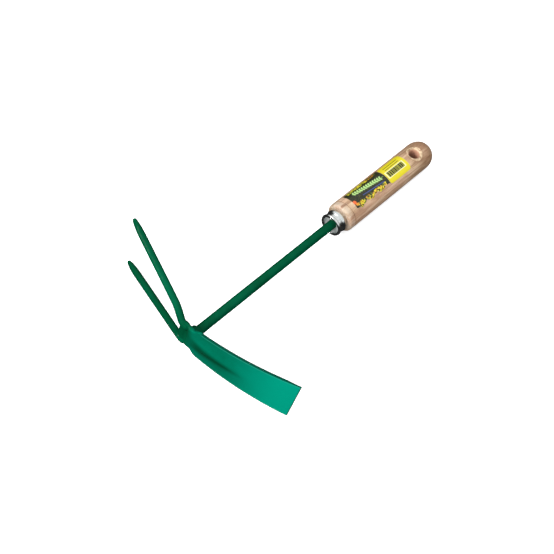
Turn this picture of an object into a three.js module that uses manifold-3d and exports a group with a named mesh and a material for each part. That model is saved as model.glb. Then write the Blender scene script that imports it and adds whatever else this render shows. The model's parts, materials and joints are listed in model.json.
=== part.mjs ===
// Short-handled garden hoe with a hand-wide blade on one side of its head and two tines on the other.
// The tool is drawn in its own axes and then laid on its side on the ground plane:
//   x runs from the hub along the shank to the butt of the handle, y points towards the tines,
//   and z is the direction across the blade that faces up when the tool lies down. Millimetres.
import * as THREE from 'three';
import { mergeVertices } from 'three/addons/utils/BufferGeometryUtils.js';
import Module from 'manifold-3d';

const wasm = await Module();
wasm.setup();

// ---- driving dimensions -------------------------------------------------------------------
const GAP = 0.3;                 // left between pieces that touch on the real tool
const TOOL_LENGTH = 329;         // hub centre to butt

const SHANK_RADIUS = 4.5;
const SHANK_START = 3.8;         // just off the end of the hub's boss
const TANG_START = 184;          // where the shank begins to taper inside the handle
const TANG_END = 262;
const TANG_END_RADIUS = 2.6;

const HUB_OUTER = -5.8;          // plate's face away from the handle
const HUB_PLATE = 3.6;           // thickness of the plate
const HUB_TINE_SIDE = 9;         // y of the edge that carries the tines
const HUB_LOW = -18;             // z of the plate's two ends
const HUB_HIGH = 16;
const HUB_CORNER = 3.5;
const BOSS_RADIUS = 7.5;         // round boss behind the plate, where the shank is welded on
const BOSS_START = -2.45;
const BOSS_END = 3.5;

const BLADE_THICKNESS = 2.5;
const BLADE_REACH = 100.7;       // from the shank axis to the cutting edge, measured along -y
const BLADE_NECK_HALF = 14.6;
const BLADE_ROOT_HALF = 20.2;    // half width just past the shoulders
const BLADE_EDGE_HALF = 29.9;
const BLADE_SHOULDER = 9;        // distance over which the neck widens into the blade
const BLADE_ROOT_X = -6.2;       // outer face at the neck
const BLADE_SLOPE = 0.11;        // lean of the blade towards the handle, at its neck
const BLADE_BOW_RADIUS = 350;    // the blade curves towards the handle
const RIB_HEIGHT = 3;            // pressed rib down the middle, fading out towards the edge
const RIB_LENGTH = 66;
const RIB_HALF_WIDTH = 12;

const TINE_RADIUS = 3.5;
const TINES = {                  // root, bend and point of each tine; they are bent by hand and differ
  upper: [[-4.1, HUB_TINE_SIDE + GAP, 10.6], [-0.7, 21.6, 18.3], [21.7, 105, 35.5]],
  lower: [[-4.1, HUB_TINE_SIDE + GAP, -14.2], [-2.5, 15, -16.9], [21.7, 105, -35.5]],
};
const TINE_BEND_REACH = 7;       // length of rod that each end of the swing takes up
const TINE_STUB = 2.8;           // straight length in the weld
const TINE_TAPER = 20;
const TINE_TIP_RADIUS = 1.1;

const SHANK_WELD_LEG = 2.6;      // width of the weld fillet on the hub, and its height up the rod
const TINE_WELD_LEG = 1.8;
const WELD_LIP = 0.4;            // thickness left where the fillet ends on the rod
const WELD_BEAD_RADIUS = 1.5;

const FERRULE_START = 179;
const FERRULE_END = 191.7;
const FERRULE_LIP_RADIUS = 11.75;
const FERRULE_BEAD_RADIUS = 11.6;
const FERRULE_GROOVE_RADIUS = 10.3;
const FERRULE_BORE_RADIUS = 9.5;
const WASHER_START = 182;
const WASHER_THICKNESS = 1.2;

const HANDLE_RADIUS = 15;
const HANDLE_START = 192;        // shoulder against the ferrule
const NOSE_START = 183.4;        // end of the wood inside the ferrule
const NOSE_RADIUS = 9.2;
const SHOULDER_ROUND = 3;
const BUTT_LENGTH = 14.5;        // length of the domed end
const BUTT_FLAT_RADIUS = 4;
const HOLE_X = 303;
const HOLE_RADIUS = 5.5;
const HOLE_MOUTH_RADIUS = 9;
const HOLE_MOUTH_DEPTH = 3.4;

const LABEL_THICKNESS = 0.25;
const FRONT_LABEL = { start: 206, end: 255.8, from: -50, to: 46 };
const REAR_LABEL = { start: 256.1, end: 288, from: -47, to: 40 };

const REST_PITCH = THREE.MathUtils.degToRad(3.63);  // the butt drops until the handle touches the ground
const REST_ROLL = THREE.MathUtils.degToRad(2.03);   // and the head rolls on to blade corner and tine

// ---- shared helpers -----------------------------------------------------------------------
const green = () => new THREE.MeshStandardMaterial({ color: 0x0a7a58, roughness: 0.35, metalness: 0.1 });
const zinc = () => new THREE.MeshStandardMaterial({ color: 0xb9bfc2, roughness: 0.3, metalness: 0.95 });
const wood = () => new THREE.MeshStandardMaterial({ color: 0xc9a983, roughness: 0.5, metalness: 0 });
const paper = (color) => new THREE.MeshStandardMaterial({ color, roughness: 0.45, metalness: 0 });

const ease = (t) => t * t * (3 - 2 * t);
const clamp01 = (t) => Math.min(1, Math.max(0, t));

function welded(geometry) {
  const bare = geometry.clone();
  bare.deleteAttribute('normal');
  bare.deleteAttribute('uv');
  return mergeVertices(bare, 1e-4);
}

function piece(name, geometry, material) {
  const mesh = new THREE.Mesh(welded(geometry), material);
  mesh.name = name;
  return mesh;
}

// Moves every vertex of a geometry through a function of its old position.
function reshape(geometry, place) {
  const position = geometry.attributes.position;
  const vertex = new THREE.Vector3();
  for (let i = 0; i < position.count; i += 1) {
    vertex.fromBufferAttribute(position, i);
    place(vertex);
    position.setXYZ(i, vertex.x, vertex.y, vertex.z);
  }
  return geometry;
}

// Turned piece about the x axis, from [x, radius] pairs that start and end on the axis or close.
function turned(profile, sides) {
  const points = profile.map(([x, radius]) => new THREE.Vector2(radius, x));
  return new THREE.LatheGeometry(points, sides).rotateZ(-Math.PI / 2);
}

// Quarter round from one point of a turned profile to another, bulging towards the corner between them.
function rounded([x0, r0], [xc, rc], [x1, r1], steps) {
  const points = [];
  for (let i = 0; i <= steps; i += 1) {
    const angle = (i / steps) * Math.PI / 2;
    const a = 1 - Math.sin(angle);
    const b = 1 - Math.cos(angle);
    points.push([xc + (x0 - xc) * a + (x1 - xc) * b, rc + (r0 - rc) * a + (r1 - rc) * b]);
  }
  return points;
}

// Round bar along a curve, with its radius given as a function of the distance from its start.
function bar(curve, radiusAt, steps, sides) {
  const length = curve.getLength();
  const across = new THREE.Vector3(1, 0, 0);
  return reshape(new THREE.CylinderGeometry(1, 1, 1, sides, steps), (v) => {
    const t = clamp01(v.y + 0.5);
    const centre = curve.getPointAt(t);
    const along = curve.getTangentAt(t);
    const second = along.clone().cross(across).normalize();
    const first = along.clone().cross(second);
    const radius = radiusAt(t * length, length);
    const [a, b] = [v.x * radius, v.z * radius];
    v.copy(centre).addScaledVector(first, a).addScaledVector(second, b);
  });
}

function toManifold(geometry) {
  const source = welded(geometry);
  const mesh = new wasm.Mesh({
    numProp: 3,
    vertProperties: new Float32Array(source.attributes.position.array),
    triVerts: new Uint32Array(source.index.array),
  });
  return new wasm.Manifold(mesh);
}

function fromManifold(solid) {
  const mesh = solid.getMesh();
  const geometry = new THREE.BufferGeometry();
  geometry.setAttribute('position', new THREE.BufferAttribute(new Float32Array(mesh.vertProperties), 3));
  geometry.setIndex(new THREE.BufferAttribute(new Uint32Array(mesh.triVerts), 1));
  return geometry;
}

// ---- head ---------------------------------------------------------------------------------
// Outer face of the blade: x at a distance h below the shank axis, measured along -y.
function bladeX(h) {
  const angle0 = Math.atan(BLADE_SLOPE);
  const sine = Math.sin(angle0) + h / BLADE_BOW_RADIUS;
  return BLADE_ROOT_X + BLADE_BOW_RADIUS * (Math.cos(angle0) - Math.sqrt(1 - sine * sine));
}

function bladeHalfWidth(h) {
  const shoulder = ease(clamp01(h / BLADE_SHOULDER));
  const flare = BLADE_ROOT_HALF + (BLADE_EDGE_HALF - BLADE_ROOT_HALF) * clamp01(h / BLADE_REACH);
  return BLADE_NECK_HALF + (flare - BLADE_NECK_HALF) * shoulder;
}

function ribHeight(h, z) {
  const lengthwise = clamp01(h / BLADE_SHOULDER) * ease(clamp01(1 - h / RIB_LENGTH));
  const across = Math.max(0, 1 - Math.abs(z) / RIB_HALF_WIDTH);
  return RIB_HEIGHT * lengthwise * across ** 1.3;
}

function blade() {
  const sheet = new THREE.BoxGeometry(1, 1, 1, 1, 26, 14);
  return reshape(sheet, (v) => {
    const h = (0.5 - v.y) * BLADE_REACH;
    const z = v.z * 2 * bladeHalfWidth(h);
    const inward = (v.x + 0.5) * BLADE_THICKNESS;
    v.set(bladeX(h) - ribHeight(h, z) + inward, -h - GAP, z);
  });
}

// Rectangle with rounded corners, between two corners of its own plane.
function roundedRectangle(x0, y0, x1, y1, r) {
  const shape = new THREE.Shape();
  shape.moveTo(x0 + r, y0);
  shape.lineTo(x1 - r, y0);
  shape.absarc(x1 - r, y0 + r, r, -Math.PI / 2, 0);
  shape.lineTo(x1, y1 - r);
  shape.absarc(x1 - r, y1 - r, r, 0, Math.PI / 2);
  shape.lineTo(x0 + r, y1);
  shape.absarc(x0 + r, y1 - r, r, Math.PI / 2, Math.PI);
  shape.lineTo(x0, y0 + r);
  shape.absarc(x0 + r, y0 + r, r, Math.PI, 1.5 * Math.PI);
  return shape;
}

// Plate that continues the blade past the shank, with the boss behind it.
function hub() {
  const outline = roundedRectangle(-HUB_HIGH, 0, -HUB_LOW, HUB_TINE_SIDE, HUB_CORNER);
  const options = { depth: HUB_PLATE, bevelEnabled: false, curveSegments: 5 };
  const plate = new THREE.ExtrudeGeometry(outline, options).rotateY(Math.PI / 2);
  plate.translate(HUB_OUTER, 0, 0);
  const bossProfile = [[BOSS_START, 0], [BOSS_START, BOSS_RADIUS], [BOSS_END, BOSS_RADIUS], [BOSS_END, 0]];
  const boss = turned(bossProfile, 32);
  return fromManifold(toManifold(plate).add(toManifold(boss)));
}

// Each tine leaves the hub square to its edge, swings out and then runs straight to its point.
function tine(name) {
  const [root, bend, tip] = TINES[name].map((point) => new THREE.Vector3(...point));
  const run = tip.clone().sub(bend).normalize();
  const straightStart = bend.clone().addScaledVector(run, TINE_BEND_REACH);
  const stub = root.clone().add(new THREE.Vector3(0, TINE_STUB, 0));
  const firstControl = stub.clone().lerp(bend, 0.4);
  firstControl.z = stub.z + (firstControl.z - stub.z) / 2;
  const path = new THREE.CurvePath();
  path.add(new THREE.LineCurve3(root, stub));
  path.add(new THREE.CubicBezierCurve3(stub, firstControl, bend, straightStart));
  path.add(new THREE.LineCurve3(straightStart, tip));
  const radiusAt = (distance, length) => {
    const left = clamp01((length - distance) / TINE_TAPER);
    return TINE_TIP_RADIUS + (TINE_RADIUS - TINE_TIP_RADIUS) * Math.sqrt(1 - (1 - left) ** 2);
  };
  return bar(path, radiusAt, 34, 14);
}

// Fillet of weld round a rod of the given radius, standing on a plane across the x axis.
function weldCollar(rodRadius, leg) {
  const inner = rodRadius + GAP;
  const swell = rounded([0, inner + leg], [leg, inner + leg], [leg, inner + WELD_LIP], 4);
  return turned([[0, inner], ...swell, [leg, inner], [0, inner]], 24);
}

function tineWeld(name) {
  return weldCollar(TINE_RADIUS, TINE_WELD_LEG).rotateZ(Math.PI / 2).translate(...TINES[name][0]);
}

// Bead along the blade's inner face, below the boss.
function bladeWeld() {
  const length = 2 * (BLADE_NECK_HALF - 1);
  const bead = new THREE.CylinderGeometry(WELD_BEAD_RADIUS, WELD_BEAD_RADIUS, length, 12, 6);
  const y = -BOSS_RADIUS - GAP - WELD_BEAD_RADIUS;
  const x = bladeX(-y) + BLADE_THICKNESS + GAP + WELD_BEAD_RADIUS + 0.1;
  return bead.rotateX(Math.PI / 2).translate(x, y, 0);
}

// ---- shank, ferrule and handle ------------------------------------------------------------
function shank() {
  return turned([
    [SHANK_START, 0], [SHANK_START, SHANK_RADIUS], [TANG_START, SHANK_RADIUS],
    [TANG_END, TANG_END_RADIUS], [TANG_END, 0],
  ], 24);
}

function ferrule() {
  const lip = 1.6;
  const beadMiddle = FERRULE_END - 3.6;
  const beadHalf = 2.6;
  const profile = [[FERRULE_START + 0.4, FERRULE_BORE_RADIUS]];
  for (let i = 0; i <= 6; i += 1) {
    const angle = (-0.25 + 1.15 * i / 6) * Math.PI;
    const x = FERRULE_START + lip - lip * Math.cos(angle);
    profile.push([x, FERRULE_LIP_RADIUS - lip + lip * Math.sin(angle)]);
  }
  profile.push([FERRULE_START + 4.4, FERRULE_GROOVE_RADIUS]);
  for (let i = 0; i <= 6; i += 1) {
    const swell = Math.sin((i / 6) * Math.PI) ** 0.8;
    const radius = FERRULE_GROOVE_RADIUS + (FERRULE_BEAD_RADIUS - FERRULE_GROOVE_RADIUS) * swell;
    profile.push([beadMiddle - beadHalf + (i / 3) * beadHalf, radius]);
  }
  profile.push([FERRULE_END, FERRULE_GROOVE_RADIUS], [FERRULE_END, FERRULE_BORE_RADIUS], profile[0]);
  return turned(profile, 36);
}

function ferruleWasher() {
  const [near, far] = [WASHER_START, WASHER_START + WASHER_THICKNESS];
  const [inner, outer] = [SHANK_RADIUS + GAP, FERRULE_BORE_RADIUS - GAP];
  return turned([[near, inner], [near, outer], [far, outer], [far, inner], [near, inner]], 36);
}

function handle() {
  const boreAt = (x) => {
    const along = clamp01((x - TANG_START) / (TANG_END - TANG_START));
    return SHANK_RADIUS + GAP + (TANG_END_RADIUS - SHANK_RADIUS) * along;
  };
  const boreEnd = TANG_END + GAP;
  const domeStart = TOOL_LENGTH - BUTT_LENGTH;
  const body = turned([
    [boreEnd, 0], [boreEnd, boreAt(boreEnd)],
    [TANG_START, boreAt(TANG_START)], [NOSE_START, boreAt(NOSE_START)],
    [NOSE_START, NOSE_RADIUS], [HANDLE_START, NOSE_RADIUS], [HANDLE_START, HANDLE_RADIUS - SHOULDER_ROUND],
    ...rounded([HANDLE_START, HANDLE_RADIUS - SHOULDER_ROUND], [HANDLE_START, HANDLE_RADIUS],
      [HANDLE_START + SHOULDER_ROUND, HANDLE_RADIUS], 4).slice(1),
    [(HANDLE_START + domeStart) / 2, HANDLE_RADIUS],
    ...rounded([domeStart, HANDLE_RADIUS], [TOOL_LENGTH, HANDLE_RADIUS],
      [TOOL_LENGTH, BUTT_FLAT_RADIUS], 9),
    [TOOL_LENGTH, 0],
  ], 40);
  return fromManifold(toManifold(body).subtract(toManifold(hangingHole())));
}

// Cutter for the hanging hole: a straight bore with a flared mouth at each side of the handle.
function hangingHole() {
  const reach = HANDLE_RADIUS + 2;
  const mouth = rounded([0, HOLE_RADIUS], [HOLE_MOUTH_DEPTH, HOLE_RADIUS],
    [HOLE_MOUTH_DEPTH, HOLE_MOUTH_RADIUS], 4);
  const flare = mouth.map(([depth, radius]) => [HANDLE_RADIUS - HOLE_MOUTH_DEPTH + depth, radius]);
  const right = [...flare, [reach, HOLE_MOUTH_RADIUS + 0.6], [reach, 0]];
  const left = right.map(([x, radius]) => [-x, radius]).reverse();
  return turned([...left, ...right], 28).rotateY(-Math.PI / 2).translate(HOLE_X, 0, 0);
}

// Sticker wrapped round the handle between two angles, counted from straight up towards the blade.
function label({ start, end, from, to }) {
  const [width, span] = [end - start, THREE.MathUtils.degToRad(to - from)];
  const first = THREE.MathUtils.degToRad(from);
  const inner = HANDLE_RADIUS + GAP;
  return reshape(new THREE.BoxGeometry(1, 1, 1, 1, 20, 1), (v) => {
    const angle = first + (0.5 - v.y) * span;
    const radius = inner + (0.5 + v.z) * LABEL_THICKNESS;
    v.set(start + (v.x + 0.5) * width, -radius * Math.sin(angle), radius * Math.cos(angle));
  });
}

// ---- assembly -----------------------------------------------------------------------------
const tool = new THREE.Group();
tool.add(piece('blade', blade(), green()));
tool.add(piece('hub', hub(), green()));
tool.add(piece('shank', shank(), green()));
const shankWeld = weldCollar(SHANK_RADIUS, SHANK_WELD_LEG).translate(SHANK_START, 0, 0);
tool.add(piece('weld_shank', shankWeld, green()));
for (const name of Object.keys(TINES)) {
  tool.add(piece(`tine_${name}`, tine(name), green()));
  tool.add(piece(`weld_tine_${name}`, tineWeld(name), green()));
}
tool.add(piece('weld_blade', bladeWeld(), green()));
tool.add(piece('ferrule', ferrule(), zinc()));
tool.add(piece('ferrule_washer', ferruleWasher(), zinc()));
tool.add(piece('handle', handle(), wood()));
tool.add(piece('label_front', label(FRONT_LABEL), paper(0x1c2b14)));
tool.add(piece('label_rear', label(REAR_LABEL), paper(0xf2ea3a)));

// Lay the tool down: lower blade corner, lower tine and the underside of the handle touch z = 0,
// and the row's origin is the middle of its footprint.
tool.rotation.set(REST_ROLL, REST_PITCH, 0);
tool.updateMatrixWorld(true);
const extent = new THREE.Box3().setFromObject(tool, true);
const middle = extent.getCenter(new THREE.Vector3());
tool.position.set(-middle.x, -middle.y, -extent.min.z);

const hoe = new THREE.Group();
hoe.add(tool);
hoe.updateMatrixWorld(true);

export default hoe;
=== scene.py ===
"""Looks of a short-handled garden hoe: blade and two-tine fork on a green steel head, round shank,
zinc-plated ferrule, turned wooden handle with two printed stickers. Lengths below are millimetres in
the tool's own axes: x from the hub along the shank, y towards the tines, z up across the blade."""

import json
import math
import random

import bmesh
import bpy
from mathutils import Matrix, Vector


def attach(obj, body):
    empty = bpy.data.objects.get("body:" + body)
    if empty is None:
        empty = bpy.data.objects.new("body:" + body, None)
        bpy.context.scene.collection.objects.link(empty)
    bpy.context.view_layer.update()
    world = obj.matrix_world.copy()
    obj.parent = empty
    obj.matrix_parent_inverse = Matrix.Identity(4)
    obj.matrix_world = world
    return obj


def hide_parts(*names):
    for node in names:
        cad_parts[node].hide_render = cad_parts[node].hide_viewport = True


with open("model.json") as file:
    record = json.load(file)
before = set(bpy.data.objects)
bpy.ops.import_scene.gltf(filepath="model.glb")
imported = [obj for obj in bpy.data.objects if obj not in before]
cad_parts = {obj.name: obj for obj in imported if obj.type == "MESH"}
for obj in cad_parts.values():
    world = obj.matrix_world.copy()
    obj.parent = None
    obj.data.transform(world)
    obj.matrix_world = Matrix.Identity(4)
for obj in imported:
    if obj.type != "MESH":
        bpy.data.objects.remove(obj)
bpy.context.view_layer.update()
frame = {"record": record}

MM = 0.001
TOOL_LENGTH = 329
SHARP_EDGE = math.radians(40)

# Camera, in the tool's axes.
CAMERA_TARGET = Vector((98.07, -6.51, 0))
CAMERA_HEADING = math.radians(64.303)     # from +y towards +x
CAMERA_ELEVATION = math.radians(57.157)
CAMERA_ROLL = math.radians(21.364)
CAMERA_DISTANCE = 862.43
LENS = 61.85

# Light, in metres and watts: soft boxes aimed at the tool, and whether each one shows in reflections.
SOFT_BOXES = (
    ("key", (-1.05, 0.7, 0.95), 0.3, 23, True),
    ("overhead", (0.1, 0.0, 2.0), 2.4, 40, False),
    ("front_fill", (-1.5, -0.4, 0.7), 1.2, 26, False),
    ("side_fill", (0.3, -1.6, 0.7), 1.2, 12, False),
)
# Brightness by the height of a direction, from -1 to 1.
SKY_STRENGTH, SKY_STOPS = 0.3, ((-0.1, 0.0), (0.4, 1.0))
ROOM_STRENGTH, ROOM_STOPS = 1.0, ((-1, 0.03), (-0.5, 0.03), (-0.2, 0.02), (0.22, 0.04), (0.5, 1.0))
BACKDROP = (0.96, 0.96, 0.96, 1)
FLOOR_HALF = 4.0

# Blade.
BLADE_ROOT_X = -6.2
BLADE_SLOPE = 0.11
BLADE_BOW_RADIUS = 350
BLADE_REACH = 100.7
BLADE_NECK_HALF = 14.6
BLADE_ROOT_HALF = 20.2
BLADE_EDGE_HALF = 29.9
BLADE_SHOULDER = 9
SHEET = 2.2
SHEET_CORNER = 0.45
CUTTING_EDGE, EDGE_TAPER = 1.2, 16
SET_BACK = 0.3                # of the whole blade towards its edge
RIB_HEIGHT = 1.8
RIB_LENGTH = 66
RIB_HALF_WIDTH = 14
RIB_CREST = 2.6
RIB_RUN_IN = 24

# Hub: a plate that carries the tines, and a round boss behind it for the shank.
PLATE_LOW = (-5.8, -2.0, -17.6)
PLATE_HIGH = (-2.2, 9.0, 15.6)
BOSS_START, BOSS_END, BOSS_RADIUS = -3.5, 3.6, 7.2
NECK_PROUD, NECK_SUNK, NECK_LENGTH = 0.28, 0.4, 8.0
WEB_LOW, WEB_HIGH = (-6.4, 6.0, -11.5), (-2.6, 13.2, 9.0)   # weld that fills the crotch of the fork
TINE_PUDDLES, TINE_PUDDLE = 14, 0.95
SHANK_PUDDLES, SHANK_PUDDLE = 16, 1.7
NECK_BEADS, NECK_BEAD, NECK_BEAD_PITCH, NECK_BEAD_Z, NECK_BEAD_H = 15, 1.6, 1.8, -12.6, 8

# Tines and shank.
TINE_RADIUS = 3.4             # a true circle that stays inside the CAD's many-sided bar
TINES = {
    "upper": (Vector((-4.1, 9.3, 10.6)), Vector((-0.7, 21.6, 18.3)), Vector((21.7, 105, 35.5))),
    "lower": (Vector((-4.1, 9.3, -14.2)), Vector((-2.5, 15, -16.9)), Vector((21.7, 105, -35.5))),
}
TINE_BEND_REACH = 7
TINE_STUB = 2.8
TINE_TAPER = 20
TINE_TIP_RADIUS = 1.1
SHANK_RADIUS = 4.5
TANG_START, TANG_END, TANG_END_RADIUS = 184, 262, 2.6

# Ferrule and handle.
FERRULE_START, FERRULE_END = 179, 191.7
LIP_RADIUS, BEAD_RADIUS, GROOVE_RADIUS, FERRULE_BORE = 11.75, 11.6, 10.2, 9.5
LIP_ROLL = 1.6
BEAD_MIDDLE, BEAD_HALF = 188.1, 2.6
WASHER_START = 181.6
HANDLE_RADIUS = 14.95         # likewise inside the CAD's many-sided handle
HANDLE_START = 192
NOSE_START, NOSE_RADIUS = 183.4, 9.2
SHOULDER_ROUND = 3
TURNED_LINE_X, TURNED_LINE_DEPTH = 199.4, 0.3
BUTT_LENGTH = 14.5
BUTT_END = 328.95
BUTT_FLAT = 4
HOLE_X, HOLE_RADIUS, HOLE_MOUTH_RADIUS, HOLE_MOUTH_DEPTH = 303, 5.5, 9, 3.4

# Stickers: s is the distance along x, arc the distance round the handle from straight up.
LABEL_RADIUS = HANDLE_RADIUS + 0.04
LABEL_FILM = 0.1
PRINT_STEP = 0.25
FRONT_START, FRONT_END, FRONT_TOP = 206, 255.8, -12.8
STEM_START, STEM_END, STEM_HALF = 213, 254, 0.3
STEM_POINT, STEM_RISE = (214, -6.2), 0.125
LEAF_PAIRS, LEAF_FIRST, LEAF_PITCH = 13, 215, 2.9
LEAF_LIFT, LEAF_TILT, LEAF_LENGTH, LEAF_WIDTH, MIDRIB = 1.2, 0.7, 1.9, 0.42, 0.06
RULE_START, RULE_END, RULE_ARC, RULE_RISE, RULE_HALF = 221, 251, 0.9, 0.077, 0.45
PETALS, PETAL_S, PETAL_ARC, PETAL_SIZE = 260, (210, 251), (4.0, 10), (0.35, 0.95)
FOLIAGE, FOLIAGE_S, FOLIAGE_ARC, FOLIAGE_SIZE, BARK_FROM = 220, (210, 252), (-13, -9.2), (0.35, 0.9), 238
FRONT_BOTTOM, BOTTOM_WAVES = 8.2, ((1.1, 0.42), (0.45, 1.13))
REAR_START, REAR_END, REAR_TOP, REAR_BOTTOM, REAR_CORNER = 256.2, 288, -12, 10, 3
BOX_START, BOX_END, BOX_TOP, BOX_BOTTOM = 257.7, 284.6, -3.0, 4.7
BARS_START, BARS_END, BARS_TOP, BARS_BOTTOM = 258.9, 283.4, -2.1, 3.8
REAR_RULES, REAR_RULE_HALF, REAR_RULE_START, REAR_RULE_END = (-7.5, -4.8), 0.3, 261, 282


def tool_frame(record):
    """The tool's axes in the row frame, found from the flat at the end of its handle."""
    butt = next(m for m in record["mounts"] if m["name"] == "butt_face")
    axis = Vector(butt["axis"])
    pitch = math.acos(axis.x)
    roll = math.atan2(axis.y, -axis.z)
    turn = Matrix.Rotation(roll, 4, "X") @ Matrix.Rotation(pitch, 4, "Y")
    hub = Vector(butt["pos_m"]) - axis * TOOL_LENGTH * MM
    return Matrix.Translation(hub) @ turn


TOOL = tool_frame(frame["record"])


# ---- camera and light ---------------------------------------------------------------------
def make_camera():
    flat = Vector((math.sin(CAMERA_HEADING), math.cos(CAMERA_HEADING), 0))
    forward = flat * math.cos(CAMERA_ELEVATION) - Vector((0, 0, math.sin(CAMERA_ELEVATION)))
    level = forward.cross(Vector((0, 0, 1))).normalized()
    upright = level.cross(forward)
    right = level * math.cos(CAMERA_ROLL) + upright * math.sin(CAMERA_ROLL)
    turn = Matrix((right, right.cross(forward), -forward)).transposed().to_4x4()
    place = (CAMERA_TARGET - forward * CAMERA_DISTANCE) * MM
    data = bpy.data.cameras.new("camera")
    data.sensor_width = 36
    data.lens = LENS
    camera = bpy.data.objects.new("camera", data)
    bpy.context.collection.objects.link(camera)
    camera.matrix_world = TOOL @ Matrix.Translation(place) @ turn
    bpy.context.scene.camera = camera


def soft_light(name, place, size, power, shines):
    """A square soft box aimed at the tool. One that doesn't shine is left out of reflections."""
    data = bpy.data.lights.new(name, "AREA")
    data.shape = "SQUARE"
    data.size = size
    data.energy = power
    lamp = bpy.data.objects.new(name, data)
    bpy.context.collection.objects.link(lamp)
    lamp.location = place
    lamp.rotation_euler = (-Vector(place)).to_track_quat("-Z", "Y").to_euler()
    lamp.visible_glossy = shines


def sky(tree, height, strength, stops):
    """Background whose brightness follows the height of the direction, from -1 to 1."""
    lift = tree.nodes.new("ShaderNodeMapRange")
    lift.inputs["From Min"].default_value = -1
    tree.links.new(height, lift.inputs["Value"])
    shade = tree.nodes.new("ShaderNodeValToRGB")
    tree.links.new(lift.outputs["Result"], shade.inputs[0])
    elements = shade.color_ramp.elements
    while len(elements) < len(stops):
        elements.new(0.5)
    for element, (spot, level) in zip(elements, stops):
        element.position = (spot + 1) / 2
        element.color = (level, level, level, 1)
    background = tree.nodes.new("ShaderNodeBackground")
    tree.links.new(shade.outputs["Color"], background.inputs["Color"])
    background.inputs["Strength"].default_value = strength
    return background.outputs[0]


def switch(tree, ray, others, for_ray):
    """One shader for a kind of ray, and another for all other rays."""
    made = tree.nodes.new("ShaderNodeMixShader")
    tree.links.new(tree.nodes.new("ShaderNodeLightPath").outputs[ray], made.inputs[0])
    tree.links.new(others, made.inputs[1])
    tree.links.new(for_ray, made.inputs[2])
    return made.outputs[0]


def make_world():
    """Soft sky for the light, a white room with a dark horizon for reflections, a pale backdrop to see."""
    world = bpy.data.worlds.new("studio")
    world.use_nodes = True
    tree = world.node_tree
    parts = tree.nodes.new("ShaderNodeSeparateXYZ")
    tree.links.new(tree.nodes.new("ShaderNodeTexCoord").outputs["Generated"], parts.inputs[0])
    height = parts.outputs["Z"]
    soft = sky(tree, height, SKY_STRENGTH, SKY_STOPS)
    room = sky(tree, height, ROOM_STRENGTH, ROOM_STOPS)
    backdrop = tree.nodes.new("ShaderNodeBackground")
    backdrop.inputs["Color"].default_value = BACKDROP
    lit = switch(tree, "Is Glossy Ray", soft, room)
    seen = switch(tree, "Is Camera Ray", lit, backdrop.outputs[0])
    tree.links.new(seen, tree.nodes["World Output"].inputs["Surface"])
    bpy.context.scene.world = world


def make_lights():
    for name, place, size, power, shines in SOFT_BOXES:
        soft_light(name, place, size, power, shines)
    make_world()
    bpy.context.scene.view_settings.view_transform = "Standard"


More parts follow.
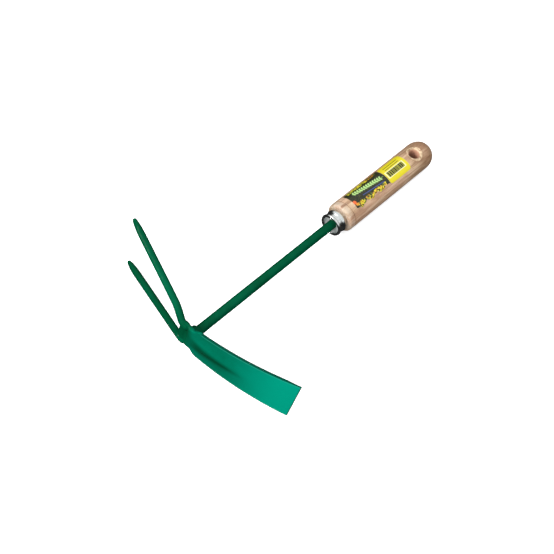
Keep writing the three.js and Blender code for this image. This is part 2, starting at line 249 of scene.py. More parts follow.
# ---- shader helpers -----------------------------------------------------------------------
class Shader:
    """A material's node tree, with short calls to add and join nodes."""

    def __init__(self, name, **sockets):
        self.material = bpy.data.materials.new(name)
        self.material.use_nodes = True
        self.tree = self.material.node_tree
        self.bsdf = self.tree.nodes["Principled BSDF"]
        for socket, value in sockets.items():
            self.bsdf.inputs[socket.replace("_", " ")].default_value = value
        self.place = self.tool_place()

    def tool_place(self):
        """Object coordinates turned back into the tool's own axes, in metres."""
        made = self.node("ShaderNodeMapping", vector_type="TEXTURE")
        self.feed(made.inputs["Vector"], self.node("ShaderNodeTexCoord").outputs["Object"])
        self.feed(made.inputs["Location"], TOOL.to_translation())
        self.feed(made.inputs["Rotation"], TOOL.to_euler())
        return made.outputs["Vector"]

    def node(self, kind, **settings):
        made = self.tree.nodes.new(kind)
        for setting, value in settings.items():
            setattr(made, setting, value)
        return made

    def feed(self, socket, value):
        """Sets an input, or links it if the value is another node's output."""
        if isinstance(value, bpy.types.NodeSocket):
            self.tree.links.new(value, socket)
        else:
            socket.default_value = value

    def stretch(self, scale):
        """Place scaled along each axis."""
        made = self.node("ShaderNodeMapping")
        self.feed(made.inputs["Vector"], self.place)
        self.feed(made.inputs["Scale"], scale)
        return made.outputs["Vector"]

    def noise(self, scale, detail=4, roughness=0.5, distortion=0.0, vector=None):
        made = self.node("ShaderNodeTexNoise")
        self.feed(made.inputs["Vector"], vector or self.place)
        self.feed(made.inputs["Scale"], scale)
        self.feed(made.inputs["Detail"], detail)
        self.feed(made.inputs["Roughness"], roughness)
        self.feed(made.inputs["Distortion"], distortion)
        return made.outputs["Fac"]

    def math(self, operation, a, b=0.0, c=0.0):
        made = self.node("ShaderNodeMath", operation=operation)
        for socket, value in zip(made.inputs, (a, b, c)):
            self.feed(socket, value)
        return made.outputs[0]

    def split(self):
        """x, y and z of the place, in metres."""
        made = self.node("ShaderNodeSeparateXYZ")
        self.feed(made.inputs[0], self.place)
        return made.outputs

    def ramp(self, factor, *stops):
        """Colour ramp from (position, colour) stops."""
        made = self.node("ShaderNodeValToRGB")
        self.feed(made.inputs[0], factor)
        elements = made.color_ramp.elements
        while len(elements) < len(stops):
            elements.new(0.5)
        for element, (position, colour) in zip(elements, stops):
            element.position = position
            element.color = (*colour, 1)
        return made.outputs["Color"]

    def fade(self, value, low, high):
        """0 at low, 1 at high, smooth between, and clamped."""
        made = self.node("ShaderNodeMapRange", interpolation_type="SMOOTHSTEP")
        self.feed(made.inputs["Value"], value)
        falling = high < low
        self.feed(made.inputs["From Min"], high if falling else low)
        self.feed(made.inputs["From Max"], low if falling else high)
        self.feed(made.inputs["To Min"], 1.0 if falling else 0.0)
        self.feed(made.inputs["To Max"], 0.0 if falling else 1.0)
        return made.outputs["Result"]

    def reach(self, value, low, high):
        """Fade of a distance in metres between two that are given in millimetres."""
        return self.fade(value, low * MM, high * MM)

    def band(self, value, low, high, soft):
        """1 between two distances in millimetres, with soft borders."""
        rise = self.reach(value, low - soft, low + soft)
        return self.math("MULTIPLY", rise, self.reach(value, high + soft, high - soft))

    def mix(self, factor, a, b):
        made = self.node("ShaderNodeMix", data_type="RGBA")
        self.feed(made.inputs["Factor"], factor)
        for socket, value in ((made.inputs[6], a), (made.inputs[7], b)):
            self.feed(socket, (*value, 1) if isinstance(value, tuple) else value)
        return made.outputs[2]

    def weigh(self, factor, strength):
        return self.math("MULTIPLY", factor, strength)

    def bump(self, height, strength, distance):
        made = self.node("ShaderNodeBump")
        self.feed(made.inputs["Height"], height)
        self.feed(made.inputs["Strength"], strength)
        self.feed(made.inputs["Distance"], distance)
        return made.outputs["Normal"]

    def finish(self, colour, roughness, normal):
        self.feed(self.bsdf.inputs["Base Color"], colour)
        self.feed(self.bsdf.inputs["Roughness"], roughness)
        self.feed(self.bsdf.inputs["Normal"], normal)
        return self.material


def srgb(red, green, blue):
    """Linear colour from the eight-bit numbers that a person reads off a paint chart."""
    values = []
    for level in (red, green, blue):
        v = level / 255
        values.append(v / 12.92 if v <= 0.04045 else ((v + 0.055) / 1.055) ** 2.4)
    return tuple(values)


# ---- materials ----------------------------------------------------------------------------
BAR_DEEP, BAR_LIGHT = srgb(0, 58, 34), srgb(0, 72, 47)
# The blade's bluer tone towards its edge is partly a painted reflection of the pale floor.
SHEET_DEEP, SHEET_LIGHT, SHEET_BLUE = srgb(0, 87, 64), srgb(0, 98, 76), srgb(0, 134, 110)
# Painted shade on the blade: its lower half near the neck, and a wedge beside the rib's crest.
LOW_SHADE_TONE, RIB_SHADE_TONE = srgb(0, 68, 44), srgb(0, 50, 28)
# Blade edges: a painted highlight line inside the sides, painted shade along the sides, and the dark cutting
# edge.
BEVEL_HIGHLIGHT_TONE, RIM_SHADE_TONE, EDGE_TONE = srgb(60, 160, 136), srgb(0, 58, 44), srgb(0, 70, 54)
ZINC_TONES = ((0.3, (0.56, 0.60, 0.59)), (0.55, (0.72, 0.76, 0.75)), (0.8, (0.84, 0.87, 0.86)))
GRAIN_TONES = ((0.3, srgb(112, 88, 66)), (0.44, srgb(160, 131, 103)),
               (0.58, srgb(187, 161, 133)), (0.76, srgb(208, 190, 164)))
PATCH_TONE, PORE_TONE, LINE_TONE = srgb(184, 142, 120), srgb(98, 72, 52), srgb(114, 84, 62)
SHOULDER_TONE, GROOVE_TONE, BUTT_TONE = srgb(172, 162, 148), srgb(96, 72, 52), srgb(110, 74, 50)
# Painted light round the hanging hole: a highlight on the mouth, shade on the lip, and a paler bore.
MOUTH_HIGHLIGHT_TONE, LIP_SHADE_TONE, BORE_LIGHT_TONE = srgb(214, 194, 160), srgb(120, 86, 62), srgb(184, 138, 116)
DOT_TONE = (0.3, 0.26, 0.06)
FLOOR_TONES = (0.93, 0.93, 0.93), (0.95, 0.95, 0.95)


def orange_peel(s):
    """Faint waviness of sprayed enamel."""
    return s.math("ADD", s.noise(650, 2), s.weigh(s.noise(140, 3), 1.6))


def rib_painted_shade(s, down, z):
    """Painted shade: a wedge of darker colour beside the rib's crest, widest at the neck, where the rib's
    flank turns from the light.
    """
    off_crest = s.math("ABSOLUTE", s.math("ADD", z, 3.5 * MM))
    wedge = s.reach(s.math("MULTIPLY_ADD", down, 0.12, off_crest), 12, 4)
    return s.math("MULTIPLY", wedge, s.band(down, 1, 48, 12))


def sheet_sides(s, down, z, tone):
    """Adds to the blade's paint a painted highlight line just inside its side edges, painted shade along the
    side edges, and a dark cutting edge.
    """
    flare = (BLADE_EDGE_HALF - BLADE_ROOT_HALF) / BLADE_REACH
    side = s.math("MULTIPLY_ADD", down, flare, BLADE_ROOT_HALF * MM)
    inside = s.math("SUBTRACT", side, s.math("ABSOLUTE", z))
    past_neck = s.reach(down, 8, 12)
    # Painted highlight: a light line just inside each side edge, past the neck.
    bevel_highlight = s.math("MULTIPLY", s.band(inside, 1.2, 2.1, 0.3), past_neck)
    tone = s.mix(s.weigh(bevel_highlight, 0.35), tone, BEVEL_HIGHLIGHT_TONE)
    # Painted shade along each side edge, past the neck.
    tone = s.mix(s.math("MULTIPLY", s.reach(inside, 0.9, 0.4), past_neck), tone, RIM_SHADE_TONE)
    return s.mix(s.reach(down, BLADE_REACH - 0.3, BLADE_REACH + 0.1), tone, EDGE_TONE)


def sheet_paint(s, down, z, clouds):
    """Paint of the blade: bluer towards its edge, partly as a painted reflection, and darker on its lower
    half near the neck as painted shade.
    """
    tone = s.mix(clouds, SHEET_DEEP, SHEET_LIGHT)
    # Bluer towards the edge: partly the paint's own tone, partly a painted reflection of the pale floor.
    tone = s.mix(s.reach(down, 30, 95), tone, SHEET_BLUE)
    # Painted shade on the lower half near the neck, where the rib's lower flank faces from the light.
    low_half_shade = s.math("MULTIPLY", s.reach(z, 1, -4), s.reach(down, 66, 16))
    tone = s.mix(s.weigh(low_half_shade, 0.15), tone, LOW_SHADE_TONE)
    # Painted shade beside the rib's crest.
    tone = s.mix(s.weigh(rib_painted_shade(s, down, z), 0.8), tone, RIB_SHADE_TONE)
    return sheet_sides(s, down, z, tone)


def enamel(name):
    """Gloss enamel, deep green on bar and weld and lighter on the blade."""
    s = Shader(name, IOR=1.1, Coat_Weight=0.0)
    x, y, z = s.split()
    down = s.math("MULTIPLY", y, -1.0)
    clouds = s.fade(s.noise(30, 5, 0.6), 0.3, 0.7)
    bar = s.mix(clouds, BAR_DEEP, BAR_LIGHT)
    before_shank = s.reach(s.math("MULTIPLY_ADD", down, -0.25, x), 2, 0)
    on_sheet = s.math("MULTIPLY", s.reach(down, -4, 4), before_shank)
    colour = s.mix(on_sheet, bar, sheet_paint(s, down, z, clouds))
    roughness = s.math("MULTIPLY_ADD", s.noise(90, 4, 0.6), 0.14, 0.08)
    return s.finish(colour, roughness, s.bump(orange_peel(s), 0.3, 0.0003))


def zinc(name, metallic):
    """Bright zinc plate with faint streaks along the tool."""
    s = Shader(name, Metallic=metallic)
    streaks = s.noise(60, 5, 0.6, vector=s.stretch((1, 6, 6)))
    colour = s.ramp(streaks, *ZINC_TONES)
    roughness = s.math("MULTIPLY_ADD", s.noise(300, 4, 0.6), 0.1, 0.1)
    return s.finish(colour, roughness, s.bump(s.noise(240, 3), 0.05, 0.0003))


def bare_wood(s, grain, pores):
    """Long grain with warm patches, open pores and fine dark lines."""
    colour = s.ramp(grain, *GRAIN_TONES)
    patches = s.fade(s.noise(9, 3, 0.5, 0.4, s.stretch((1.4, 6, 6))), 0.45, 0.66)
    colour = s.mix(s.weigh(patches, 0.4), colour, PATCH_TONE)
    colour = s.mix(s.weigh(pores, 0.6), colour, PORE_TONE)
    lines = s.fade(s.noise(70, 4, 0.5, 0.3, s.stretch((0.35, 10, 10))), 0.54, 0.64)
    return s.mix(s.weigh(lines, 0.42), colour, LINE_TONE)


def worked_wood(s, x, grain, colour):
    """Adds the pale shoulder, partly end grain and partly a painted highlight, the dark turned line and the
    darker butt.
    """
    # Pale shoulder by the ferrule: partly end grain, partly a painted highlight.
    shoulder = s.math("MULTIPLY", s.reach(x, 199.8, 196), s.fade(grain, 0.3, 0.6))
    colour = s.mix(s.weigh(shoulder, 0.6), colour, SHOULDER_TONE)
    colour = s.mix(s.weigh(s.band(x, 199, 199.8, 0.2), 0.6), colour, GROOVE_TONE)
    return s.mix(s.weigh(s.reach(x, 284, 322), 0.55), colour, BUTT_TONE)


def hole_wood(s, x, y, colour):
    """Adds round the hanging hole a painted highlight on its flared mouth, painted shade on its lip and
    painted light on its pale bore.
    """
    off = s.math("SUBTRACT", x, HOLE_X * MM)
    away = s.math("SQRT", s.math("ADD", s.math("MULTIPLY", off, off), s.math("MULTIPLY", y, y)))
    # Painted highlight on the hole's flared mouth.
    mouth_highlight = s.math("MULTIPLY", s.band(away, 5.8, 8.6, 0.4), s.fade(s.noise(420, 3), 0.3, 0.6))
    colour = s.mix(s.weigh(mouth_highlight, 0.65), colour, MOUTH_HIGHLIGHT_TONE)
    # Painted shade on the mouth's lip.
    colour = s.mix(s.weigh(s.band(away, 8.9, 9.6, 0.3), 0.4), colour, LIP_SHADE_TONE)
    # Painted light: the bore is made paler.
    return s.mix(s.weigh(s.reach(away, 6.2, 5.4), 0.8), colour, BORE_LIGHT_TONE)


def wood():
    """Lacquered turned hardwood."""
    s = Shader("lacquered_wood", Specular_IOR_Level=0.3, Coat_Weight=0.15, Coat_Roughness=0.3)
    x, y, _ = s.split()
    grain = s.noise(26, 6, 0.62, 0.9, s.stretch((1.1, 9, 9)))
    pores = s.fade(s.noise(230, 3, 0.6, 0.0, s.stretch((0.7, 12, 12))), 0.56, 0.7)
    colour = worked_wood(s, x, grain, bare_wood(s, grain, pores))
    roughness = s.math("MULTIPLY_ADD", grain, 0.2, 0.34)
    height = s.math("ADD", grain, s.weigh(pores, -0.5))
    return s.finish(hole_wood(s, x, y, colour), roughness, s.bump(height, 0.3, 0.0003))


def film(name):
    """Gloss sticker whose print is held in the mesh's colours, with a fine printer's dot."""
    s = Shader(name, Specular_IOR_Level=0.35, Coat_Weight=0.2, Coat_Roughness=0.2)
    printed = s.node("ShaderNodeAttribute", attribute_name="print").outputs["Color"]
    dots = s.noise(1500, 2)
    colour = s.mix(s.weigh(s.fade(dots, 0.5, 0.7), 0.2), printed, DOT_TONE)
    roughness = s.math("MULTIPLY_ADD", dots, 0.15, 0.28)
    return s.finish(colour, roughness, s.bump(s.noise(180, 2), 0.1, 0.0002))


def floor_material():
    s = Shader("studio_floor", Specular_IOR_Level=0.0, Emission_Color=(1, 1, 1, 1), Emission_Strength=0.35)
    tone = s.noise(3, 2)
    colour = s.mix(tone, *FLOOR_TONES)
    return s.finish(colour, 0.95, s.bump(tone, 0.02, 0.001))


# ---- mesh helpers -------------------------------------------------------------------------
def ease(t):
    t = min(1.0, max(0.0, t))
    return t * t * (3 - 2 * t)


def add_piece(name, mesh, material, replaces):
    """Lays a mesh drawn in tool axes, in metres, into the row frame under the root body, and hides the CAD
    parts that it replaces.
    """
    work = bmesh.new()
    work.from_mesh(mesh)
    bmesh.ops.remove_doubles(work, verts=work.verts, dist=1e-7)
    bmesh.ops.recalc_face_normals(work, faces=work.faces)
    for face in work.faces:
        face.smooth = True
    for edge in work.edges:
        edge.smooth = edge.calc_face_angle(0) < SHARP_EDGE
    work.to_mesh(mesh)
    work.free()
    mesh.transform(TOOL)
    mesh.name = name
    mesh.materials.clear()
    mesh.materials.append(material)
    obj = bpy.data.objects.new(name, mesh)
    bpy.context.collection.objects.link(obj)
    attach(obj, "root")
    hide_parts(*replaces)
    return obj


def mesh_of(verts, faces):
    mesh = bpy.data.meshes.new("work")
    mesh.from_pydata([tuple(c * MM for c in v) for v in verts], [], faces)
    return mesh


def mesh_from(work):
    """Mesh from a bmesh that is no longer needed."""
    mesh = bpy.data.meshes.new("work")
    work.to_mesh(mesh)
    work.free()
    return mesh


def loft(rings, closed=False):
    """Skin over rings with equal point counts: capped at both ends, or joined end to end."""
    count = len(rings[0])
    verts = [point for ring in rings for point in ring]
    faces = []
    spans = len(rings) if closed else len(rings) - 1
    for i in range(spans):
        a, b = i * count, ((i + 1) % len(rings)) * count
        for j in range(count):
            k = (j + 1) % count
            faces.append((a + j, a + k, b + k, b + j))
    if not closed:
        faces.append(tuple(reversed(range(count))))
        last = (len(rings) - 1) * count
        faces.append(tuple(range(last, last + count)))
    return mesh_of(verts, faces)


def ring_about_x(x, radius, sides):
    """Circle of points round the x axis."""
    step = 2 * math.pi / sides
    return [(x, radius * math.cos(i * step), radius * math.sin(i * step)) for i in range(sides)]


def turned(profile, sides=160, closed=False):
    """Turned piece about the x axis from (x, radius) pairs."""
    return loft([ring_about_x(x, radius, sides) for x, radius in profile], closed)


def corner(start, middle, end, steps):
    """Quarter round from start to end, bulging towards the corner in the middle."""
    points = []
    for i in range(steps + 1):
        angle = i / steps * math.pi / 2
        a, b = 1 - math.sin(angle), 1 - math.cos(angle)
        points.append(tuple(m + (s - m) * a + (e - m) * b for s, m, e in zip(start, middle, end)))
    return points


def line(start, end, steps):
    """Points from start towards end, with the end left out."""
    return [tuple(s + (e - s) * i / steps for s, e in zip(start, end)) for i in range(steps)]


def applied(obj_mesh, *modifiers):
    """A mesh with modifiers baked in. Each modifier is (type, {setting: value})."""
    obj = bpy.data.objects.new("work", obj_mesh)
    bpy.context.collection.objects.link(obj)
    for kind, settings in modifiers:
        modifier = obj.modifiers.new(kind, kind)
        for setting, value in settings.items():
            setattr(modifier, setting, value)
    graph = bpy.context.evaluated_depsgraph_get()
    result = bpy.data.meshes.new_from_object(obj.evaluated_get(graph))
    bpy.data.objects.remove(obj)
    return result


def joined(meshes):
    """One mesh that holds several closed ones, all facing outwards."""
    work = bmesh.new()
    for mesh in meshes:
        work.from_mesh(mesh)
    bmesh.ops.recalc_face_normals(work, faces=work.faces)
    return mesh_from(work)


# ---- blade --------------------------------------------------------------------------------
def blade_x(h):
    """x of the blade's outer face at a distance h from the shank axis, towards -y."""
    lean = math.atan(BLADE_SLOPE)
    sine = math.sin(lean) + h / BLADE_BOW_RADIUS
    return BLADE_ROOT_X + BLADE_BOW_RADIUS * (math.cos(lean) - math.sqrt(1 - sine * sine))


def blade_half_width(h):
    flare = BLADE_ROOT_HALF + (BLADE_EDGE_HALF - BLADE_ROOT_HALF) * h / BLADE_REACH
    return BLADE_NECK_HALF + (flare - BLADE_NECK_HALF) * ease(h / BLADE_SHOULDER)


def rib(h, z):
    """Height of the pressed rib: a rounded crest with hollow flanks that fades towards the edge."""
    lengthwise = ease((h + RIB_RUN_IN / 8) / RIB_RUN_IN) * ease(1.08 - h / RIB_LENGTH)
    away = math.sqrt(z * z + RIB_CREST ** 2) - RIB_CREST
    return RIB_HEIGHT * lengthwise * max(0.0, 1 - away / RIB_HALF_WIDTH) ** 1.7


def blade_ring(h, shrink=0.0):
    """Outline of the sheet across the blade: outer face, side edge, inner face, side edge."""
    half = blade_half_width(h) - shrink
    thick = SHEET + (CUTTING_EDGE - SHEET) * ease((h - BLADE_REACH + EDGE_TAPER) / EDGE_TAPER) - 2 * shrink
    soft = min(SHEET_CORNER, thick / 3)
    inner = shrink + thick
    count = 72
    across = [-half + soft + (2 * half - 2 * soft) * i / count for i in range(count + 1)]
    edge = corner((shrink, half - soft), (shrink, half), (shrink + soft, half), 3)[1:]
    back = corner((inner - soft, half), (inner, half), (inner, half - soft), 3)
    outline = [(shrink, z) for z in across] + edge + back
    outline += [(inner, z) for z in reversed(across[1:-1])]
    outline += [(depth, -z) for depth, z in reversed(edge + back)]
    return [(blade_x(h) - rib(h, z) + depth, -h - SET_BACK, z) for depth, z in outline]


def blade_mesh():
    stations = [0.4 * i for i in range(25)] + [10 + 1.3 * i for i in range(70)]
    rings = [blade_ring(h) for h in stations if h < BLADE_REACH - 0.8]
    rings += [blade_ring(BLADE_REACH - 0.4), blade_ring(BLADE_REACH - 0.15, 0.12)]
    rings += [blade_ring(BLADE_REACH, 0.3)]
    return loft(rings)


def neck_mesh():
    """Skin of weld and paint over the blade's neck, which sinks into the sheet at its far end."""
    rings = []
    for i in range(25):
        h = -3 + (NECK_LENGTH + 3) * i / 24
        sink = -NECK_PROUD + (NECK_PROUD + NECK_SUNK) * ease(h / NECK_LENGTH)
        rings.append(blade_ring(h, sink))
    return loft(rings)


# ---- tines and shank ----------------------------------------------------------------------
def bezier(a, b, c, d, steps):
    points = []
    for i in range(steps):
        t = i / steps
        u = 1 - t
        points.append(a * u ** 3 + b * 3 * u * u * t + c * 3 * u * t * t + d * t ** 3)
    return points


def tine_path(name):
    """Root, swing and straight run to the point, starting inside the hub."""
    root, bend, tip = TINES[name]
    run = (tip - bend).normalized()
    stub = root + Vector((0, TINE_STUB, 0))
    straight = bend + run * TINE_BEND_REACH
    first = stub.lerp(bend, 0.4)
    first.z = (stub.z + first.z) / 2
    points = [root - Vector((0, 3, 0)), root]
    points += bezier(stub, first, bend, straight, 28)
    points += [straight.lerp(tip, i / 60) for i in range(56)]
    points += [straight.lerp(tip, 0.93 + 0.07 * i / 16) for i in range(1, 17)]
    return points


def sweep(points, radius_at, facet, sides=40):
    """Round bar along points. facet(left, offset, along) can press a flat on the bar near its end."""
    travelled = [0.0]
    for a, b in zip(points, points[1:]):
        travelled.append(travelled[-1] + (b - a).length)
    total = travelled[-1]
    rings = []
    for i, centre in enumerate(points):
        along = (points[min(i + 1, len(points) - 1)] - points[max(i - 1, 0)]).normalized()
        second = along.cross(Vector((1, 0, 0))).normalized()
        first = along.cross(second)
        left = total - travelled[i]
        radius = radius_at(left)
        ring = []
        for j in range(sides):
            angle = 2 * math.pi * j / sides
            offset = first * math.cos(angle) * radius + second * math.sin(angle) * radius
            ring.append(centre + facet(left, offset, along))
        rings.append(ring)
    return loft(rings)


def tine_radius(left):
    """Radius of a tine at a distance from its point: ground to a blunt nose."""
    along = min(1.0, left / TINE_TAPER)
    body = TINE_TIP_RADIUS + (TINE_RADIUS - TINE_TIP_RADIUS) * math.sqrt(1 - (1 - along) ** 2)
    nose = min(1.0, left / 1.4)
    return body * (0.35 + 0.65 * math.sqrt(1 - (1 - nose) ** 2))


def ground_flat(left, offset, along):
    """Flat that the grinder leaves on the outer side of the last stretch."""
    outward = Vector((-1, 0, 0.25))
    outward = (outward - along * outward.dot(along)).normalized()
    limit = 1.0 + 0.16 * left
    return offset - outward * max(0.0, offset.dot(outward) - limit)


def tine_mesh(name):
    return sweep(tine_path(name), tine_radius, ground_flat)


def shank_mesh():
    profile = line((BOSS_END - 2, SHANK_RADIUS), (TANG_START, SHANK_RADIUS), 40)
    profile += [(TANG_START, SHANK_RADIUS), (TANG_END, TANG_END_RADIUS)]
    return turned(profile, 64)


# ---- hub and welds ------------------------------------------------------------------------
def block(low, high, soft):
    """Box with rounded edges between two corners."""
    work = bmesh.new()
    bmesh.ops.create_cube(work, size=1)
    for vert in work.verts:
        vert.co = Vector([(l + h) / 2 + c * (h - l) for l, h, c in zip(low, high, vert.co)])
    bmesh.ops.bevel(work, geom=work.edges[:], offset=soft, segments=4, profile=0.5, affect="EDGES")
    bmesh.ops.scale(work, vec=(MM, MM, MM), verts=work.verts)
    return mesh_from(work)


def blob(centre, radius):
    work = bmesh.new()
    bmesh.ops.create_icosphere(work, subdivisions=3, radius=radius)
    for vert in work.verts:
        vert.co = (vert.co + Vector(centre)) * MM
    return mesh_from(work)


def bead_ring(centre, normal, radius, bead, count, rng):
    """Overlapping puddles of weld round a bar."""
    normal = Vector(normal)
    first = normal.orthogonal().normalized()
    second = normal.cross(first)
    blobs = []
    for i in range(count):
        angle = 2 * math.pi * i / count
        reach = radius + rng.uniform(-0.25, 0.25)
        spot = Vector(centre) + first * math.cos(angle) * reach + second * math.sin(angle) * reach
        blobs.append(blob(spot, bead * rng.uniform(0.9, 1.12)))
    return blobs


def weldment_mesh():
    """Hub with its welds, melted together into one skin under the paint."""
    rng = random.Random(7)
    boss = turned([(BOSS_START, BOSS_RADIUS), (BOSS_END - 0.6, BOSS_RADIUS), (BOSS_END, BOSS_RADIUS - 1)], 64)
    parts = [block(PLATE_LOW, PLATE_HIGH, 1.6), block(WEB_LOW, WEB_HIGH, 1.8), boss, neck_mesh()]
    for root, _, _ in TINES.values():
        collar = root + Vector((0, 0.2, 0))
        parts += bead_ring(collar, (0, 1, 0), TINE_RADIUS - 0.3, TINE_PUDDLE, TINE_PUDDLES, rng)
        parts.append(blob(root - Vector((0, 2.2, 0)), TINE_RADIUS + 0.4))
    collar = (BOSS_END + 0.6, 0, 0)
    parts += bead_ring(collar, (1, 0, 0), SHANK_RADIUS + 0.5, SHANK_PUDDLE, SHANK_PUDDLES, rng)
    neck_x = blade_x(NECK_BEAD_H) + SHEET + 0.9
    for i in range(NECK_BEADS):
        spot = (neck_x, -NECK_BEAD_H - 0.6 + rng.uniform(-0.2, 0.2), NECK_BEAD_Z + NECK_BEAD_PITCH * i)
        parts.append(blob(spot, NECK_BEAD))
    return applied(
        joined(parts),
        ("REMESH", {"mode": "VOXEL", "voxel_size": 0.4 * MM}),
        ("SMOOTH", {"factor": 0.6, "iterations": 12}),
    )


# ---- ferrule ------------------------------------------------------------------------------
def ferrule_mesh():
    start, lip = FERRULE_START, LIP_ROLL
    profile = []
    for i in range(25):
        angle = math.radians(-70 + 250 * i / 24)
        profile.append((start + lip - lip * math.cos(angle), LIP_RADIUS - lip + lip * math.sin(angle)))
    profile += corner(profile[-1], (start + 3.4, GROOVE_RADIUS), (start + 4.6, GROOVE_RADIUS), 8)[1:]
    for i in range(25):
        swell = math.sin(i / 24 * math.pi) ** 0.85
        x = BEAD_MIDDLE + BEAD_HALF * (i / 12 - 1)
        profile.append((x, GROOVE_RADIUS + (BEAD_RADIUS - GROOVE_RADIUS) * swell))
    rim = (FERRULE_END - 0.3, GROOVE_RADIUS)
    profile += line(profile[-1], rim, 3)[1:]
    profile += corner(rim, (FERRULE_END, GROOVE_RADIUS), (FERRULE_END, GROOVE_RADIUS - 0.3), 3)
    profile += [(FERRULE_END, FERRULE_BORE), (start + 3, FERRULE_BORE)]
    return turned(profile, 160, closed=True)


def washer_mesh():
    """Dished disc in the mouth of the ferrule."""
    inner, outer = SHANK_RADIUS + 0.25, FERRULE_BORE - 0.1
    front = []
    for i in range(17):
        t = i / 16
        dish = 0.9 * math.sin(t * math.pi / 2)
        front.append((WASHER_START + 0.9 - dish, inner + (outer - inner) * t))
    back = [(WASHER_START + 1.2, radius) for _, radius in reversed(front)]
    return turned(front + back, 120, closed=True)


# ---- handle -------------------------------------------------------------------------------
def handle_profile():
    dome = BUTT_END - BUTT_LENGTH
    shoulder = (HANDLE_START, HANDLE_RADIUS - SHOULDER_ROUND)
    body_start = (HANDLE_START + SHOULDER_ROUND, HANDLE_RADIUS)
    profile = [(NOSE_START, SHANK_RADIUS + 0.3), (NOSE_START, NOSE_RADIUS), (HANDLE_START, NOSE_RADIUS)]
    profile += line((HANDLE_START, NOSE_RADIUS), shoulder, 4)[1:]
    profile += corner(shoulder, (HANDLE_START, HANDLE_RADIUS), body_start, 10)
    for i in range(9):
        across = i / 4 - 1
        cut = TURNED_LINE_DEPTH * (1 - across * across)
        profile.append((TURNED_LINE_X + 0.5 * across, HANDLE_RADIUS - cut))
    profile += line((TURNED_LINE_X + 0.6, HANDLE_RADIUS), (dome, HANDLE_RADIUS), 60)
    profile += corner((dome, HANDLE_RADIUS), (BUTT_END, HANDLE_RADIUS), (BUTT_END, BUTT_FLAT), 24)
    return profile


def handle_mesh():
    cutter = bpy.data.objects.new("cutter", joined([hole_mesh()]))
    bpy.context.collection.objects.link(cutter)
    cut = {"object": cutter, "operation": "DIFFERENCE", "solver": "EXACT"}
    result = applied(joined([turned(handle_profile(), 128)]), ("BOOLEAN", cut))
    bpy.data.objects.remove(cutter)
    return result


def hole_mesh():
    """Cutter for the hanging hole, flared at both mouths."""
    middle, end = (HOLE_MOUTH_DEPTH, HOLE_RADIUS), (HOLE_MOUTH_DEPTH, HOLE_MOUTH_RADIUS)
    mouth = corner((0, HOLE_RADIUS), middle, end, 10)
    right = [(HANDLE_RADIUS - HOLE_MOUTH_DEPTH + depth, radius) for depth, radius in mouth]
    right.append((HANDLE_RADIUS + 2, HOLE_MOUTH_RADIUS + 0.6))
    left = [(-x, radius) for x, radius in reversed(right)]
    rings = []
    for x, radius in left + right:
        rings.append([(HOLE_X + b, c, x) for _, b, c in ring_about_x(x, radius, 72)])
    return loft(rings)


# ---- stickers -----------------------------------------------------------------------------
DARK, MOSS = (14, 22, 8), (70, 90, 30)
LEAF, STEM, BLUE = (176, 214, 136), (96, 140, 66), (44, 62, 118)
PETAL, AMBER, BARK, RED = (208, 190, 40), (188, 124, 34), (84, 58, 28), (196, 84, 40)
YELLOW, CREAM, OLIVE, STRAW = (196, 184, 28), (208, 208, 160), (34, 38, 6), (156, 154, 44)


def sticker_mesh(start, end, low, high):
    """Skin round the handle. low and high give its borders as arcs."""
    middle = (start + end) / 2
    along = round((end - start) / PRINT_STEP)
    across = round((high(middle) - low(middle)) / PRINT_STEP)
    rings = []
    for i in range(along + 1):
        x = start + (end - start) * i / along
        a, b = low(x), high(x)
        angles = [(a + (b - a) * j / across) / HANDLE_RADIUS for j in range(across + 1)]
        under = [(x, -LABEL_RADIUS * math.sin(angle), LABEL_RADIUS * math.cos(angle)) for angle in angles]
        outer = LABEL_RADIUS + LABEL_FILM
        over = [(x, -outer * math.sin(angle), outer * math.cos(angle)) for angle in angles]
        rings.append(under + over[::-1])
    return loft(rings)


def ink(obj, colour_at):
    """Prints on a sticker: stores colour_at(s, arc) at every point of its mesh."""
    back = TOOL.inverted()
    layer = obj.data.color_attributes.new("print", "FLOAT_COLOR", "POINT")
    for vert, spot in zip(obj.data.vertices, layer.data):
        x, y, z = (back @ vert.co) / MM
        spot.color = (*srgb(*colour_at(x, math.atan2(-y, z) * HANDLE_RADIUS)), 1)


def leaf(s, arc, centre, middle, tilt, size):
    """0 outside a pointed leaf, 1 inside it, 2 on its midrib."""
    u = ((s - centre) * math.cos(tilt) + (arc - middle) * math.sin(tilt)) / size
    v = ((arc - middle) * math.cos(tilt) - (s - centre) * math.sin(tilt)) / size
    if abs(u) > 1 or abs(v) > LEAF_WIDTH * (1 - u * u):
        return 0
    return 2 if abs(v) < MIDRIB else 1


def stem_arc(s):
    """Where the stem of the sprig runs."""
    return STEM_POINT[1] + STEM_RISE * (s - STEM_POINT[0])


def make_leaves():
    """Opposite pairs of leaves along the stem: where each one is, its tilt and its length."""
    leaves = []
    for i in range(LEAF_PAIRS):
        centre = LEAF_FIRST + LEAF_PITCH * i
        for side in (-1, 1):
            middle = stem_arc(centre) + LEAF_LIFT * side
            leaves.append((centre, middle, LEAF_TILT * side, LEAF_LENGTH))
    return leaves


def sprig(leaves, s, arc):
    """Colour of the sprig of leaves along the middle of the dark sticker, or None."""
    if not STEM_START < s < STEM_END:
        return None
    for centre, middle, tilt, size in leaves:
        found = leaf(s, arc, centre, middle, tilt, size)
        if found:
            return LEAF if found == 1 else STEM
    return STEM if abs(arc - stem_arc(s)) < STEM_HALF else None


def speckle(flecks, s, arc):
    """Colour of the fleck that covers a spot, or None."""
    for centre, middle, radius, colour in flecks:
        if (s - centre) ** 2 + (arc - middle) ** 2 < radius * radius:
            return colour
    return None


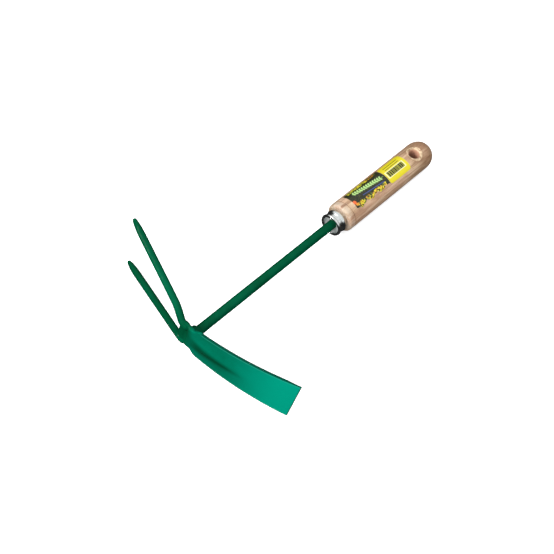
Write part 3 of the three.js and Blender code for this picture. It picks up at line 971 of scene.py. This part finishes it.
def make_flecks():
    """Petals along the lower border and foliage along the upper one."""
    rng = random.Random(11)
    flecks = [(207.4, 1.6, 2.0, RED), (208.6, 4.4, 1.5, AMBER)]
    for _ in range(PETALS):
        colour = rng.choice((PETAL, PETAL, STRAW, AMBER, BARK, MOSS))
        flecks.append((rng.uniform(*PETAL_S), rng.uniform(*PETAL_ARC), rng.uniform(*PETAL_SIZE), colour))
    for _ in range(FOLIAGE):
        s = rng.uniform(*FOLIAGE_S)
        colour = rng.choice((PETAL, STRAW, MOSS) if s < BARK_FROM else (BARK, BARK, AMBER, MOSS))
        flecks.append((s, rng.uniform(*FOLIAGE_ARC), rng.uniform(*FOLIAGE_SIZE), colour))
    return flecks


def front_print(leaves, flecks):
    """Print of the dark sticker: sprig, rule, petals and foliage."""
    def colour_at(s, arc):
        rule = RULE_ARC + RULE_RISE * (s - RULE_START)
        if RULE_START < s < RULE_END and abs(arc - rule) < RULE_HALF:
            return BLUE
        return sprig(leaves, s, arc) or speckle(flecks, s, arc) or DARK
    return colour_at


def make_bars():
    """Plain upright bars of varied width, which encode nothing."""
    rng = random.Random(5)
    bars, at = [], 259.8
    while at < 283.0:
        width = rng.choice((0.75, 1.25, 2.0))
        bars.append((at, at + width))
        at += width + rng.choice((0.5, 0.75))
    return bars


def rear_print(bars):
    """Print of the yellow sticker: a framed box of bars with two rules above it."""
    def colour_at(s, arc):
        if BOX_START < s < BOX_END and BOX_TOP < arc < BOX_BOTTOM:
            if s < BARS_START or s > BARS_END or arc < BARS_TOP or arc > BARS_BOTTOM:
                return CREAM
            return OLIVE if any(a <= s <= b for a, b in bars) else STRAW
        ruled = any(abs(arc - rule) < REAR_RULE_HALF for rule in REAR_RULES)
        return OLIVE if ruled and REAR_RULE_START < s < REAR_RULE_END else YELLOW
    return colour_at


def front_bottom(x):
    """Wavy die-cut border under the petals."""
    return FRONT_BOTTOM + sum(height * math.sin(x * pace) for height, pace in BOTTOM_WAVES)


def rear_inset(x):
    """How far the border draws in at the rounded corners."""
    left = min(x - REAR_START, REAR_END - x, REAR_CORNER)
    return REAR_CORNER - math.sqrt(REAR_CORNER ** 2 - (REAR_CORNER - left) ** 2)


def rear_top(x):
    return REAR_TOP + rear_inset(x)


def rear_bottom(x):
    return REAR_BOTTOM - rear_inset(x)


def make_sticker(name, mesh, material, node, print_at):
    ink(add_piece(name, mesh, material, (node,)), print_at)


def make_stickers():
    front = sticker_mesh(FRONT_START, FRONT_END, lambda x: FRONT_TOP, front_bottom)
    front_ink = front_print(make_leaves(), make_flecks())
    make_sticker("label_front_film", front, film("label_dark_print"), "label_front", front_ink)
    rear = sticker_mesh(REAR_START, REAR_END, rear_top, rear_bottom)
    rear_ink = rear_print(make_bars())
    make_sticker("label_rear_film", rear, film("label_yellow_print"), "label_rear", rear_ink)


# ---- floor and assembly -------------------------------------------------------------------
def make_floor():
    half = FLOOR_HALF
    mesh = bpy.data.meshes.new("floor")
    corners = [(-half, -half, 0), (half, -half, 0), (half, half, 0), (-half, half, 0)]
    mesh.from_pydata(corners, [], [(0, 1, 2, 3)])
    mesh.materials.append(floor_material())
    floor = bpy.data.objects.new("floor", mesh)
    bpy.context.collection.objects.link(floor)
    floor.visible_glossy = False      # reflections show the room instead
    floor.visible_diffuse = False     # and no light bounces up to flatten the undersides


def make_tool():
    head, sheet = enamel("head_enamel"), enamel("blade_enamel")
    plate, disc = zinc("zinc_plate", 1.0), zinc("zinc_disc", 0.5)
    add_piece("blade_sheet", blade_mesh(), sheet, ("blade",))
    welds = ("hub", "weld_shank", "weld_tine_upper", "weld_tine_lower", "weld_blade")
    add_piece("hub_weldment", weldment_mesh(), head, welds)
    for name in TINES:
        add_piece(f"tine_{name}_bar", tine_mesh(name), head, (f"tine_{name}",))
    add_piece("shank_bar", shank_mesh(), head, ("shank",))
    add_piece("ferrule_shell", ferrule_mesh(), plate, ("ferrule",))
    add_piece("ferrule_disc", washer_mesh(), disc, ("ferrule_washer",))
    add_piece("handle_turned", handle_mesh(), wood(), ("handle",))
    make_stickers()


make_camera()
make_lights()
make_floor()
make_tool()
